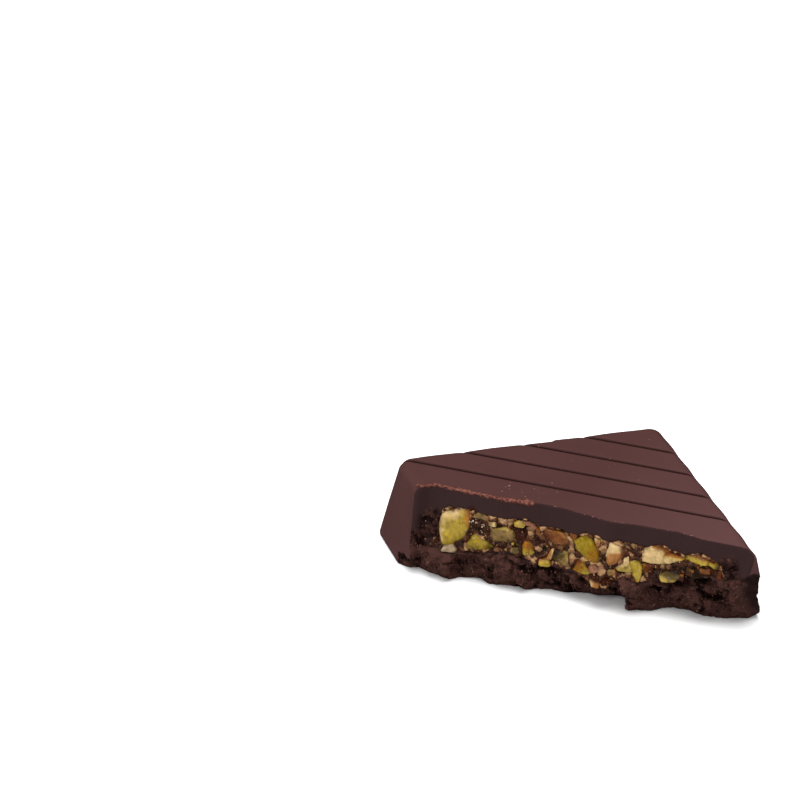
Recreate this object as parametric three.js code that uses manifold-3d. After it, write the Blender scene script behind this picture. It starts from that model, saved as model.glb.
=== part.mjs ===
// A moulded square of dark chocolate with a chopped pistachio filling, cut across one diagonal so
// that the half that is left shows the filling between its top shell and its thick base.
//
// Millimetres, +Z up. The square's diagonal runs along X, the corner that is whole lies towards +Y
// and the cut faces -Y. Shapes on the cut are given in the cut's own directions: t along it from
// left to right, s across it towards the whole corner, and z up from the table.
import * as THREE from 'three';
import { mergeVertices } from 'three/addons/utils/BufferGeometryUtils.js';
import Module from 'manifold-3d';

const wasm = await Module();
wasm.setup();

// The moulded square
const BASE_SIDE = 41.2;
const TOP_SIDE = 36.5;
const HEIGHT = 11.6;
const CORNER_RADIUS = 2.2;
const TOP_EDGE_RADIUS = 1.2;
const BASE_EDGE_RADIUS = 0.6;
const OUTLINE_STEPS = 132;
const ARC_LEVELS = 4;
const SCALLOP = 0.13; // how far the top edge bulges between two grooves
const SCALLOP_START = 5; // height where the bulges begin

// The grooves, which run at a small angle to the diagonal. They run out over the left edge and
// stop just short of the right one.
const GROOVE_TURN = THREE.MathUtils.degToRad(7.8);
const GROOVE_FIRST = 3.3;
const GROOVE_PITCH = 5.1;
const GROOVE_STOP = 0.9;
const GROOVE_COUNT = 4;
const GROOVE_HALF_WIDTH = 0.45;
const GROOVE_DEPTH = 0.5;
const GROOVE_RIM = 0.02; // the flanks go on to just above the face, so that they cut it cleanly
const GROOVE_SHOULDER = [0.6, 0.2]; // shares of the half width and the depth where the flanks steepen
const GROOVE_FOOT = 0.25; // half the flat foot, as a share of the half width

// The pocket that holds the filling
const WALL = 1.9;
const POCKET_CORNER = 4;
const POCKET_CEILING = 9.4;
const POCKET_FLOOR = 4.4;
const FIT_GAP = 0.3;
const POCKET_COLUMNS = 44;
const POCKET_ROWS = 6;
const POCKET_ARC_STEPS = 4;
const CEILING_WAVE = 0.35;
const CEILING_WAVE_SIZE = [2.5, 6]; // along t and s
const FLOOR_BLEND_START = -2; // from this s on the floor goes over from the break's line to its own height
const FLOOR_BLEND_LENGTH = 10.7;

// The cut runs at a small angle to the diagonal too. Going down it comes forward, by KNIFE_LEAN for
// each millimetre. KNIFE_LINE gives its edge on the top face as [t, s].
const CUT_TURN = THREE.MathUtils.degToRad(7.5);
const KNIFE_LEAN = 0.41;
const KNIFE_LINE = [
  [-26, -3.2], [-20.4, -3.15], [-18.5, -2], [-9, -2.3], [-4, -1.9], [-1, -1.9], [2, -2.45], [6, -3.05],
  [10, -2.55], [15, -2.4], [19, -3.1], [28, -3],
];

// Where the knife stopped the base broke off: the height where the break starts, as [t, z], and
// its ragged edge on the table, as [t, s]. Just under the knife's cut the break goes back fastest.
const BREAK_TOP = [
  [-22, 4.4], [-18, 4.3], [-14.5, 3.9], [-12.8, 4.5], [-7, 5.2], [-3, 4.5], [3, 4.5], [5, 3.6], [6.6, 3.7],
  [8.6, 5.4], [10.5, 4.9], [12.5, 5.8], [15.6, 5.9], [17.3, 7], [21, 7.5], [24, 7.8], [26, 8.9],
];
const BREAK_FOOT = [
  [-23, -4], [-21.2, -4.3], [-19.6, -4.1], [-17, -4.8], [-15, -5.5], [-13.5, -4.4], [-11.4, -3.8], [-9.4, -4.7],
  [-7, -4.05], [-4.8, -4.25], [-2, -2.9], [0.3, -3.15], [3.4, -1.85], [6.9, -1.6], [9.6, -4.2], [11.5, -3.2],
  [14.5, -1.3], [16.5, -1.2], [18.4, -2], [22, -1.4], [24.2, -0.6], [25.2, 0.4], [28, 0.8],
];
const BREAK_CURVE = 0.6;
const BREAK_ROUGHNESS = 0.6;
const LUMP_SIZE = 1.9;
const FINE_LUMPS = 0.5; // height of the finer lumps, as a share of the larger ones
const FINE_LUMP_RATE = 2.3; // how many of the finer ones lie beside a larger one
const FACE_COLUMNS = 100;
const BREAK_ROWS = 14;
const KNIFE_ROWS = 2;

// The chopped nuts that show on the cut: [t, z, width, height], in millimetres
const NUT_PIECES = [
  [-15.2, 6.7, 4.3, 4.5], [-11.9, 8, 3.2, 2.6], [-12.1, 5.5, 4.4, 2.6], [-8.7, 6.8, 4.2, 2.6],
  [-6.2, 8.5, 2.4, 1.2], [-5, 6.3, 2.4, 2.2], [-1.2, 8.1, 3.8, 2.3], [-0.5, 6, 2.7, 2.7],
  [-3, 5.3, 2.1, 1.7], [2.9, 7.4, 3.7, 3.7], [2, 5.2, 2.8, 1.8], [6.8, 7.1, 3.1, 3.1],
  [8.8, 5.9, 4.1, 2.3], [4.7, 4.4, 2.6, 1.4], [13.6, 8.2, 6, 2.5], [11.7, 6.6, 2, 1.5],
  [14.4, 6.3, 3.2, 1.7], [18.3, 8.6, 5, 1.4], [19.8, 8, 3.6, 1.6],
];
const NUT_SETBACK = 0.28; // how far a piece's middle lies behind the cut, as a share of its depth
const NUT_DEPTH = 0.8; // a piece's depth, as a share of its width
const NUT_LONGEST_DEPTH = 3;
const NUT_FULLNESS = 0.55; // a piece's corners lie this far from its middle, as a share of its size
const CHIP_COUNT = 90;
const CHIP_SMALLEST = 0.9;
const CHIP_LARGEST = 1.9;
const CHIP_FLATTEST = 0.7; // the least height of a chip, as a share of its width
const CHIP_MARGIN = 0.5; // the chips' middles stay this far above the break and below the pocket's ceiling
const FILLING_RECESS = 0.7; // the filling between the pieces lies this far behind the cut
const FILLING_ROUGHNESS = 0.4;
const FILLING_LUMP_SIZE = 0.77;
const FILLING_ENDS = [-17.6, 20.6];

const MARGIN = 3; // cutters run this far past what they cut
const SHORTEST_EDGE = 0.02; // finer detail than this is dropped
const CUT_HALF_LENGTH = 30;
const CUT_REACH = 32;
const WELD = 1e-4; // points closer than this are one
const NUT_WELD = 1e-3;

// Numbers that scatter the fixed random values, and places in the noise that lie apart
const SCATTER = [127.1, 311.7, 43758.5453];
const APART = { fineLumps: 9, ceiling: 20, filling: 40, chips: 100 };

const CHOCOLATE = { color: 0x4a2c28, roughness: 0.45 };
const FILLING = { color: 0x9c8436, roughness: 0.5 };

// A number from 0 to 1 that is always the same for the same two whole numbers.
function hash(i, j) {
  const v = Math.sin(i * SCATTER[0] + j * SCATTER[1]) * SCATTER[2];
  return v - Math.floor(v);
}

const ease = (u) => u * u * (3 - 2 * u);
const clamped = (u) => Math.min(1, Math.max(0, u));

// Smooth noise from -1 to 1 that changes over about one unit.
function noise(x, y) {
  const i = Math.floor(x);
  const j = Math.floor(y);
  const u = ease(x - i);
  const v = ease(y - j);
  const low = THREE.MathUtils.lerp(hash(i, j), hash(i + 1, j), u);
  const high = THREE.MathUtils.lerp(hash(i, j + 1), hash(i + 1, j + 1), u);
  return 2 * THREE.MathUtils.lerp(low, high, v) - 1;
}

// The value at t of a line given as [t, value] points, eased from each point to the next.
function along(line, t) {
  const next = line.findIndex(([at]) => at > t);
  if (next < 0) return line[line.length - 1][1];
  if (next === 0) return line[0][1];
  const [t0, v0] = line[next - 1];
  const [t1, v1] = line[next];
  return THREE.MathUtils.lerp(v0, v1, ease((t - t0) / (t1 - t0)));
}

function knifeFace(t, z) {
  return along(KNIFE_LINE, t) - KNIFE_LEAN * (HEIGHT - z);
}

// The face that the knife and the break left on the chocolate, as s at each t and z.
function brokenFace(t, z) {
  const top = along(BREAK_TOP, t);
  if (z >= top) return knifeFace(t, z);
  const fall = clamped(1 - z / top);
  const plain = THREE.MathUtils.lerp(knifeFace(t, top), along(BREAK_FOOT, t), fall ** BREAK_CURVE);
  const [u, v] = [t / LUMP_SIZE, z / LUMP_SIZE];
  const fine = noise(FINE_LUMP_RATE * u, FINE_LUMP_RATE * v + APART.fineLumps);
  const lumps = noise(u, v) + FINE_LUMPS * fine;
  return plain - BREAK_ROUGHNESS * lumps * 2 * Math.sqrt(fall * (1 - fall));
}

// The face of the filling between its larger pieces.
function fillingFace(t, z) {
  const lumps = noise(t / FILLING_LUMP_SIZE, z / FILLING_LUMP_SIZE + APART.filling);
  return knifeFace(t, z) + FILLING_RECESS + FILLING_ROUGHNESS * lumps;
}

// A closed geometry as a solid that can be cut and joined.
function solidOf(geometry) {
  const bare = new THREE.BufferGeometry();
  bare.setAttribute('position', geometry.getAttribute('position'));
  if (geometry.index) bare.setIndex(geometry.index);
  const merged = mergeVertices(bare, WELD);
  return new wasm.Manifold(new wasm.Mesh({
    numProp: 3,
    vertProperties: merged.getAttribute('position').array,
    triVerts: new Uint32Array(merged.index.array),
  }));
}

function geometryOf(solid) {
  const { vertProperties, triVerts } = solid.getMesh();
  const geometry = new THREE.BufferGeometry();
  geometry.setAttribute('position', new THREE.BufferAttribute(vertProperties, 3));
  geometry.setIndex(new THREE.BufferAttribute(triVerts, 1));
  geometry.computeVertexNormals();
  return geometry;
}

// The largest body of a solid, with sealed hollows filled and loose scraps dropped.
function mainBody(solid) {
  const bodies = solid.simplify(SHORTEST_EDGE).decompose();
  return bodies.reduce((best, body) => (body.volume() > best.volume() ? body : best));
}

// Moves each vertex of a geometry to where place puts it.
function reshape(geometry, place) {
  const position = geometry.getAttribute('position');
  for (let i = 0; i < position.count; i += 1) {
    position.setXYZ(i, ...place(position.getX(i), position.getY(i), position.getZ(i)));
  }
  return geometry;
}

function roundedSquare(side, radius) {
  const h = side / 2;
  const c = h - radius;
  const shape = new THREE.Shape();
  shape.moveTo(-c, -h);
  shape.lineTo(c, -h);
  shape.absarc(c, -c, radius, -Math.PI / 2, 0);
  shape.lineTo(h, c);
  shape.absarc(c, c, radius, 0, Math.PI / 2);
  shape.lineTo(-c, h);
  shape.absarc(-c, c, radius, Math.PI / 2, Math.PI);
  shape.lineTo(-h, -c);
  shape.absarc(-c, -c, radius, Math.PI, 1.5 * Math.PI);
  return shape;
}

// The side wall from the table up, as [z, inset] levels: a small round at the foot, the straight
// draft, and the round of the top edge.
function wallLevels() {
  const draft = (BASE_SIDE - TOP_SIDE) / 2 / HEIGHT;
  const levels = [[0, BASE_EDGE_RADIUS]];
  for (const z of [BASE_EDGE_RADIUS, SCALLOP_START]) levels.push([z, draft * z]);
  for (let k = 0; k <= ARC_LEVELS; k += 1) {
    const turn = (k / ARC_LEVELS) * (Math.PI / 2);
    const z = HEIGHT - TOP_EDGE_RADIUS * (1 - Math.sin(turn));
    levels.push([z, draft * z + TOP_EDGE_RADIUS * (1 - Math.cos(turn))]);
  }
  return levels;
}

function mouldedSquare() {
  const levels = wallLevels();
  const points = roundedSquare(BASE_SIDE, CORNER_RADIUS).getSpacedPoints(OUTLINE_STEPS);
  const outline = new THREE.Shape(points.slice(0, -1));
  const body = new THREE.ExtrudeGeometry(outline, { depth: 1, steps: levels.length - 1, bevelEnabled: false });
  body.rotateZ(Math.PI / 4);
  reshape(body, (x, y, up) => {
    const [z, inset] = levels[Math.round(up * (levels.length - 1))];
    const s = y * Math.cos(GROOVE_TURN) - x * Math.sin(GROOVE_TURN);
    const wave = Math.cos((2 * Math.PI * (s - GROOVE_FIRST)) / GROOVE_PITCH);
    const bulge = -SCALLOP * wave * clamped((z - SCALLOP_START) / (HEIGHT - SCALLOP_START));
    const size = 1 - (inset - bulge) / (BASE_SIDE / 2);
    return [x * size, y * size, z];
  });
  return solidOf(body);
}

// The area of the top face that the grooves reach.
function grooveField() {
  const side = TOP_SIDE + 2 * MARGIN;
  const field = new THREE.BoxGeometry(side, side, 2 * MARGIN);
  field.translate(-MARGIN - GROOVE_STOP, 0, HEIGHT);
  field.rotateZ(Math.PI / 4);
  return solidOf(field);
}

// One groove's cutter: a V with a rounded foot whose flanks flare out where they leave the face.
function groove(index) {
  const [wide, shallow] = GROOVE_SHOULDER;
  const flank = [[1, MARGIN], [1, GROOVE_RIM], [wide, -shallow * GROOVE_DEPTH], [GROOVE_FOOT, -GROOVE_DEPTH]];
  const left = flank.map(([share, up]) => new THREE.Vector2(-share * GROOVE_HALF_WIDTH, up));
  const right = left.map(({ x, y }) => new THREE.Vector2(-x, y)).reverse();
  const section = new THREE.Shape([...left, ...right]);
  const cutter = new THREE.ExtrudeGeometry(section, { depth: 2 * CUT_HALF_LENGTH, bevelEnabled: false });
  cutter.translate(GROOVE_FIRST + index * GROOVE_PITCH, HEIGHT, -CUT_HALF_LENGTH);
  cutter.rotateX(Math.PI / 2);
  cutter.rotateZ(GROOVE_TURN + Math.PI / 2);
  return solidOf(cutter);
}

// Everything in front of a face that is given as s at each t and z. The rows of the face follow
// the line where the break starts, so that this line stays a sharp edge.
function inFrontOf(face) {
  const rows = BREAK_ROWS + KNIFE_ROWS;
  const cutter = new THREE.BoxGeometry(2 * CUT_HALF_LENGTH, 1, rows, FACE_COLUMNS, 1, rows);
  reshape(cutter, (t, y, up) => {
    const row = Math.round(up + rows / 2);
    const top = along(BREAK_TOP, t);
    const low = THREE.MathUtils.lerp(-MARGIN, top, row / BREAK_ROWS);
    const high = THREE.MathUtils.lerp(top, HEIGHT + MARGIN, (row - BREAK_ROWS) / KNIFE_ROWS);
    const z = row <= BREAK_ROWS ? low : high;
    return [t, y > 0 ? face(t, z) : -CUT_REACH, z];
  });
  cutter.rotateZ(CUT_TURN);
  return solidOf(cutter);
}

// The space for the filling, open to the front, made smaller all round by a gap.
function pocket(gap) {
  const side = BASE_SIDE - 2 * (WALL + gap);
  const prism = new THREE.ExtrudeGeometry(roundedSquare(side, POCKET_CORNER), {
    depth: HEIGHT, bevelEnabled: false, curveSegments: POCKET_ARC_STEPS,
  });
  prism.rotateZ(Math.PI / 4);
  reshape(prism, (x, y, z) => {
    const size = 1 - ((BASE_SIDE - TOP_SIDE) * z) / HEIGHT / side;
    return [x * size, y * size, z];
  });
  const slab = new THREE.BoxGeometry(2 * CUT_HALF_LENGTH, 2 * CUT_REACH, 1, POCKET_COLUMNS, POCKET_ROWS, 1);
  reshape(slab, (t, s, up) => {
    const wave = noise(t / CEILING_WAVE_SIZE[0], s / CEILING_WAVE_SIZE[1] + APART.ceiling);
    const ceiling = POCKET_CEILING + CEILING_WAVE * wave;
    const inside = ease(clamped((s - FLOOR_BLEND_START) / FLOOR_BLEND_LENGTH));
    const floor = THREE.MathUtils.lerp(along(BREAK_TOP, t), POCKET_FLOOR, inside);
    return [t, s, up > 0 ? ceiling - gap : floor + gap];
  });
  slab.rotateZ(CUT_TURN);
  return solidOf(prism).intersect(solidOf(slab));
}

// A chopped piece: a rough block with few sides, its middle at t and z on the cut.
function nutPiece(t, z, width, height, seed) {
  const depth = Math.min(NUT_LONGEST_DEPTH, NUT_DEPTH * width);
  const big = width > CHIP_LARGEST;
  const piece = big ? new THREE.DodecahedronGeometry(1, 0) : new THREE.IcosahedronGeometry(1, 0);
  const merged = mergeVertices(piece.deleteAttribute('normal').deleteAttribute('uv'), NUT_WELD);
  const turn = new THREE.Euler(...[1, 2, 3].map((axis) => 2 * Math.PI * hash(seed, axis)));
  merged.applyMatrix4(new THREE.Matrix4().makeRotationFromEuler(turn));
  merged.scale(width * NUT_FULLNESS, depth * NUT_FULLNESS, height * NUT_FULLNESS);
  merged.translate(t, knifeFace(t, z) + NUT_SETBACK * depth, z);
  merged.rotateZ(CUT_TURN);
  return solidOf(merged);
}

// Small chips that fill the face between the named pieces.
function chips() {
  const made = [];
  const [left, right] = FILLING_ENDS;
  for (let k = 0; k < CHIP_COUNT; k += 1) {
    const t = THREE.MathUtils.lerp(left, right, (k + hash(k, 7)) / CHIP_COUNT);
    const low = along(BREAK_TOP, t) + CHIP_MARGIN;
    const z = THREE.MathUtils.lerp(low, POCKET_CEILING - CHIP_MARGIN, hash(k, 8));
    const width = THREE.MathUtils.lerp(CHIP_SMALLEST, CHIP_LARGEST, hash(k, 9));
    const height = width * THREE.MathUtils.lerp(CHIP_FLATTEST, 1, hash(k, 10));
    made.push(nutPiece(t, z, width, height, k + APART.chips));
  }
  return made;
}

function chocolateSolid() {
  let solid = mouldedSquare();
  const field = grooveField();
  for (let k = 0; k < GROOVE_COUNT; k += 1) solid = solid.subtract(groove(k).intersect(field));
  return mainBody(solid.subtract(inFrontOf(brokenFace)).subtract(pocket(0)));
}

function fillingSolid() {
  const space = pocket(FIT_GAP);
  const core = space.subtract(inFrontOf(fillingFace));
  const pieces = NUT_PIECES.map(([t, z, width, height], k) => nutPiece(t, z, width, height, k));
  return mainBody([...pieces, ...chips()].reduce((solid, piece) => solid.add(piece.intersect(space)), core));
}

function mesh(name, solid, look) {
  const made = new THREE.Mesh(geometryOf(solid), new THREE.MeshStandardMaterial({ ...look, metalness: 0 }));
  made.name = name;
  return made;
}

const bar = new THREE.Group();
bar.add(mesh('chocolate', chocolateSolid(), CHOCOLATE));
bar.add(mesh('pistachio_filling', fillingSolid(), FILLING));

// The origin is on the table under the middle of the piece.
const box = new THREE.Box3().setFromObject(bar);
bar.position.set(-(box.min.x + box.max.x) / 2, -(box.min.y + box.max.y) / 2, -box.min.z);

export default bar;
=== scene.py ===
import itertools
import math

import bmesh
import bpy
import numpy as np
from mathutils import Matrix, Vector


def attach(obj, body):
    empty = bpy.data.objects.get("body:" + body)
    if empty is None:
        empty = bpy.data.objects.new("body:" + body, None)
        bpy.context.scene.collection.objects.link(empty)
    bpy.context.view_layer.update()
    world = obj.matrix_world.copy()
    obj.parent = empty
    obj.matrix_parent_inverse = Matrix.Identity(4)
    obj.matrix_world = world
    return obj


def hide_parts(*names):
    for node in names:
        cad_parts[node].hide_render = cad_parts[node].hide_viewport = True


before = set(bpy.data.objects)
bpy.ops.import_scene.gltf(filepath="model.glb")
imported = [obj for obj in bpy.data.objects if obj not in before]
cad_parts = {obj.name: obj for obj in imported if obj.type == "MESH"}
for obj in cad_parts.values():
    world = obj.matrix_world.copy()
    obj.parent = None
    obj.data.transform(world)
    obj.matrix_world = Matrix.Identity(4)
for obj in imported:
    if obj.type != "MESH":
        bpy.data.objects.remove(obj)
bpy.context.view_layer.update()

# Lengths are in millimetres until a mesh is made, and then in metres. Shapes on the cut are given
# as t along it from left to right, s across it towards the whole corner, and z up from the table.
MILLIMETRE = 0.001

# The moulded square
BASE_SIDE = 41.2
TOP_SIDE = 36.5
HEIGHT = 11.6
DRAFT = (BASE_SIDE - TOP_SIDE) / 2 / HEIGHT
CORNER_RADIUS = 2.6
CORNER_TIGHTENING = 0.9
RIGHT_CORNER_TIGHTENING = 1.2
RIGHT_CORNER_START = 10
RIGHT_CORNER_REACH = 6
TOP_EDGE_RADIUS = 1.2
BASE_EDGE_RADIUS = 0.6
SCALLOP = 0.07
SCALLOP_START = 5
MOULD_CENTRE = (0.9764, -9.6858)

# A nick in the top of its left back wall, which deepens along the wall and then stops. It reaches
# from the top face down by TALL, and its depth fades out over FADE.
NICK_START = -1.5
NICK_END = 3.0
NICK_STOP = 3.4
NICK_DEPTH = 0.28
NICK_TALL = 3
NICK_FADE = 2

# The grooves of its top face, and the faint dip that each lies in. FLAT is half the width of the
# flat bottom, and BANK the width of the slope beside it.
GROOVE_TURN = math.radians(7.8)
GROOVE_FIRST = 3.3
GROOVE_PITCH = 5.1
GROOVE_COUNT = 4
GROOVE_DEPTH = 0.5
GROOVE_FLAT = 0.1
GROOVE_BANK = 0.3
GROOVE_END = TOP_SIDE / 2 - 0.5
GROOVE_FADE = 0.5
DIP_DEPTH = 0.06
DIP_FLAT = 0.2
DIP_BANK = 0.45

# The pocket that holds the filling
WALL = 1.9
POCKET_CORNER = 4
POCKET_CEILING = 9.4
POCKET_FLOOR = 4.4
CEILING_LINE = [
    [-18, 4], [-17.3, 5.4], [-17.05, 7.5], [-16.8, 8.9], [-16, 9.2], [-13, 9.6], [-12, 9.3],
    [-10, 9.1], [-8, 9.3], [-6, 9.5], [-4, 9.1], [-3.4, 8.8], [-2.7, 9], [0, 8.9], [2, 9.1],
    [3.1, 9.6], [5.5, 9.3], [8, 9.4], [11, 9.2], [13, 9.7], [15, 9.3], [16.4, 9.2], [18.3, 9.9],
    [19.7, 9.6], [21, 9.2], [21.8, 8.2], [22.6, 7.4],
]

# The cut: the knife's edge on the top face as [t, s], and the share of the height by which the
# knife's face comes forward as it goes down
CUT_TURN = math.radians(7.5)
KNIFE_LEAN = 0.41
KNIFE_LINE = [
    [-26, -3.2], [-20.4, -3.15], [-18.5, -2], [-9, -2.3], [-4, -1.9], [-1, -1.9], [2, -2.45],
    [6, -3.05], [10, -2.55], [15, -2.4], [19, -3.1], [22, -3.1], [28, -3.6],
]

# The break under the cut: where it starts as [t, z], and its edge on the table as [t, s]
BREAK_TOP = [
    [-22, 4.4], [-18, 4.3], [-14.5, 3.9], [-12.8, 4.5], [-7, 5.2], [-3, 4.5], [3, 4.5], [5, 3.6],
    [6.6, 3.7], [8.6, 5.4], [10.5, 4.9], [12.5, 5.8], [15.6, 5.9], [17.3, 7], [21, 7.5], [24, 7.8],
    [26, 8.9],
]
BREAK_FOOT = [
    [-23, -4], [-21.2, -4.3], [-19.6, -4.1], [-17, -4.8], [-15, -5.5], [-13.5, -4.4], [-11.4, -3.8],
    [-9.4, -4.7], [-7, -4.05], [-4.8, -4.25], [-2, -2.9], [0.3, -3.15], [3.4, -1.85], [6.9, -1.3],
    [8.3, -1.2], [9.3, -4.2], [11.5, -3.2], [14.5, -1.3], [16.5, -1.2], [18.4, -2], [22, -1.4],
    [24.2, -0.4], [25.2, 0.8], [28, 1.8],
]
BREAK_CURVE = 0.6

# Lumps and hollows of the break: [t, z, width, height, how far out]
BREAK_LUMPS = [
    [-20.3, 2.9, 1.5, 1.5, 1.4], [-18.4, 2.2, 1.5, 1.6, 0.4], [-16.4, 3.2, 1.0, 1.0, 0.3],
    [-15.0, 1.9, 1.3, 2.6, 0.9], [-13.8, 2.0, 0.8, 3.0, -1.1], [-12.2, 2.6, 2.2, 2.0, -0.5],
    [-9.4, 1.2, 0.7, 0.7, -0.9], [-7.6, 2.4, 2.4, 2.4, 0.35], [-5.2, 2.8, 1.4, 2.8, 0.8],
    [-3.6, 2.6, 0.7, 2.6, -0.9], [-1.0, 2.6, 3.0, 2.2, 0.2], [-0.75, 1.4, 0.5, 0.6, -0.9],
    [1.0, 2.4, 0.6, 2.4, -0.6], [2.1, 2.2, 1.2, 2.6, 0.9], [4.6, 3.4, 1.7, 2.0, -0.9],
    [7.2, 3.4, 2.0, 2.0, -1.0], [9.0, 4.1, 1.4, 1.6, 1.1], [9.6, 1.2, 2.2, 1.6, 0.5],
    [12.9, 2.4, 3.0, 2.6, -0.7], [14.6, 5.2, 3.6, 1.3, -1.0], [19.4, 6.6, 2.8, 1.0, -0.9],
    [18.8, 3.4, 3.0, 3.4, 0.8], [20.8, 5.8, 1.6, 1.4, 0.5], [22.0, 3.6, 0.8, 3.2, -0.5],
    [24.4, 3.4, 1.6, 1.8, -0.5], [25.6, 1.4, 1.2, 1.2, 0.5],
]

# Parts of the knife's face that were torn instead: [t, z, width, height]
TORN_PATCHES = [
    [-18.2, 6.9, 2.1, 2.7], [-19.6, 5.0, 2.0, 1.6], [22.6, 8.6, 1.7, 2.2], [21.9, 9.6, 1.2, 0.7],
    [23.9, 7.4, 1.6, 1.2],
]

# Parts of the break that are smooth, and how smooth
SMOOTH_PATCHES = [[25.6, 8.2, 2.2, 1.9], [25.8, 4.4, 2.4, 5.2]]
SMOOTH_SHARE = 0.85

# The relief of the break: its lumps from large to small as [height, size], its grain, and the
# noise that bends the lumps out of line
LUMPS = [[1.4, 2.3], [0.85, 1.05], [0.45, 0.5]]
LARGE_LUMP_RISE = 0.6
GRAIN_HEIGHT = 0.2
GRAIN_SIZE = 0.24
BEND = 0.35
BEND_SIZE = 1.3

# The crumbly ridge that the knife pushed up along its edge: [t, s of its middle, half its width,
# height]
BURR_LINE = [
    [-21, -3.1, 0.12, 0.08], [-20.2, -2.85, 0.2, 0.14], [-18.4, -1.95, 0.16, 0.13],
    [-16, -1.95, 0.15, 0.11], [-13.5, -2.1, 0.2, 0.14], [-11.5, -2.15, 0.14, 0.1],
    [-9.2, -2.3, 0.22, 0.16], [-7.3, -2.05, 0.36, 0.2], [-5.6, -1.85, 0.34, 0.2],
    [-4.7, -1.85, 0.12, 0.08],
]

# Where specks of chocolate lie on the top face: the middle of each group as [t, s], and its spread
DUST = [
    [[-8, 1.2], [2, 0.8]], [[-6, -1], [1.2, 0.4]], [[4, -2.6], [4, 0.2]], [[18, -2.7], [3, 0.15]],
    [[2, 8], [9, 4]], [[8, 14], [4, 5]],
]

# The grid of the shell: its finest spacing, the range of s and the reach on both sides of a groove
# where it is that fine, how many times coarser it is elsewhere, and where it ends
SPACING = 0.125
COARSER = 2.6
CUT_ZONE = (-9, 1.4)
GROOVE_ZONE = 0.85
GRID_T = (-30, 30)
GRID_BACK = 29.5
GRID_Z = (-0.5, 12.5)

# The grid of the filling, which is fine in front of s = 0
FILLING_COARSER = 4
FILLING_T = (-20, 24)
FILLING_S = (-8, 25)
FILLING_Z = (2.6, 10.6)
SEED = 11


def linear(red, green, blue):
    """A colour given as screen values from 0 to 255, in the linear values that shaders take."""
    shares = np.array([red, green, blue]) / 255
    return np.where(shares <= 0.04045, shares / 12.92, ((shares + 0.055) / 1.055) ** 2.4)


def eased(share):
    """A share kept between 0 and 1, with a slow start and a slow end."""
    share = np.clip(share, 0, 1)
    return share * share * (3 - 2 * share)


def along(line, t, column=1):
    """A column of a line of points at t, eased from each point to the next."""
    table = np.array(line)
    at, value = table[:, 0], table[:, column]
    i = np.clip(np.searchsorted(at, t, side="right") - 1, 0, len(at) - 2)
    return value[i] + (value[i + 1] - value[i]) * eased((t - at[i]) / (at[i + 1] - at[i]))


LATTICE_SIZE = 32
LATTICE = np.random.default_rng(SEED).uniform(-1, 1, (LATTICE_SIZE,) * 3)


def noise(t, s, z, size, seed=0):
    """Smooth noise from -1 to 1 that changes over about size."""
    turned = (0.8 * t + 0.6 * z, s + 0.31 * t, 0.8 * z - 0.6 * t)
    whole, share = [], []
    for axis, value in enumerate(turned):
        value = value / size + seed * 7.31 + axis * 3.7
        whole.append(np.floor(value).astype(int))
        share.append(eased(value - whole[-1]))
    total = 0
    for corner in itertools.product((0, 1), repeat=3):
        weight, index = 1, []
        for axis in range(3):
            weight = weight * (share[axis] if corner[axis] else 1 - share[axis])
            index.append((whole[axis] + corner[axis]) % LATTICE_SIZE)
        total = total + weight * LATTICE[tuple(index)]
    return total


def lumps(t, z, size, seed):
    """Tilted round lumps of about that size with creases between them: their height, from about -1
    to 0.5, and a number from -1 to 1 for each lump."""
    t, z = t / size + 7.31 * seed, z / size + 3.7 * seed
    cell_t, cell_z = np.floor(t).astype(int), np.floor(z).astype(int)
    tallest, tone = np.full(np.shape(t), -9.0), np.zeros(np.shape(t))
    for step_t, step_z in itertools.product((-1, 0, 1), repeat=2):
        i, j = (cell_t + step_t) % LATTICE_SIZE, (cell_z + step_z) % LATTICE_SIZE
        off_t = t - cell_t - step_t - 0.5 - 0.45 * LATTICE[i, j, 0]
        off_z = z - cell_z - step_z - 0.5 - 0.45 * LATTICE[i, j, 1]
        tilt = 0.7 * LATTICE[i, j, 3] * off_t + 0.7 * LATTICE[i, j, 4] * off_z
        tall = 0.5 * LATTICE[i, j, 2] + tilt - 0.9 * (off_t ** 2 + off_z ** 2)
        tone = np.where(tall > tallest, LATTICE[i, j, 5], tone)
        tallest = np.maximum(tallest, tall)
    return tallest, tone


def blob(t, z, at, height, width, tall):
    """1 at a place on the cut, falling smoothly to 0 at that width and height."""
    return 1 - eased(np.hypot((t - at) / width, (z - height) / tall))


def round_max(a, b, radius):
    """The larger of two distances, with the edge between them rounded."""
    corner = np.hypot(np.maximum(a + radius, 0), np.maximum(b + radius, 0)) - radius
    return np.where(np.minimum(a, b) > -radius, corner, np.maximum(a, b))


def mould_place(t, s):
    """Where a place on the cut, t and s, is in the mould's own plan."""
    cosine, sine = math.cos(CUT_TURN), math.sin(CUT_TURN)
    return t * cosine - s * sine, t * sine + s * cosine


def rounded_square(x, y, half, radius):
    """Distance outside a square with rounded corners, which point along x and y."""
    u = np.abs(x + y) / math.sqrt(2) - (half - radius)
    v = np.abs(y - x) / math.sqrt(2) - (half - radius)
    return np.hypot(np.maximum(u, 0), np.maximum(v, 0)) + np.minimum(np.maximum(u, v), 0) - radius


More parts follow.
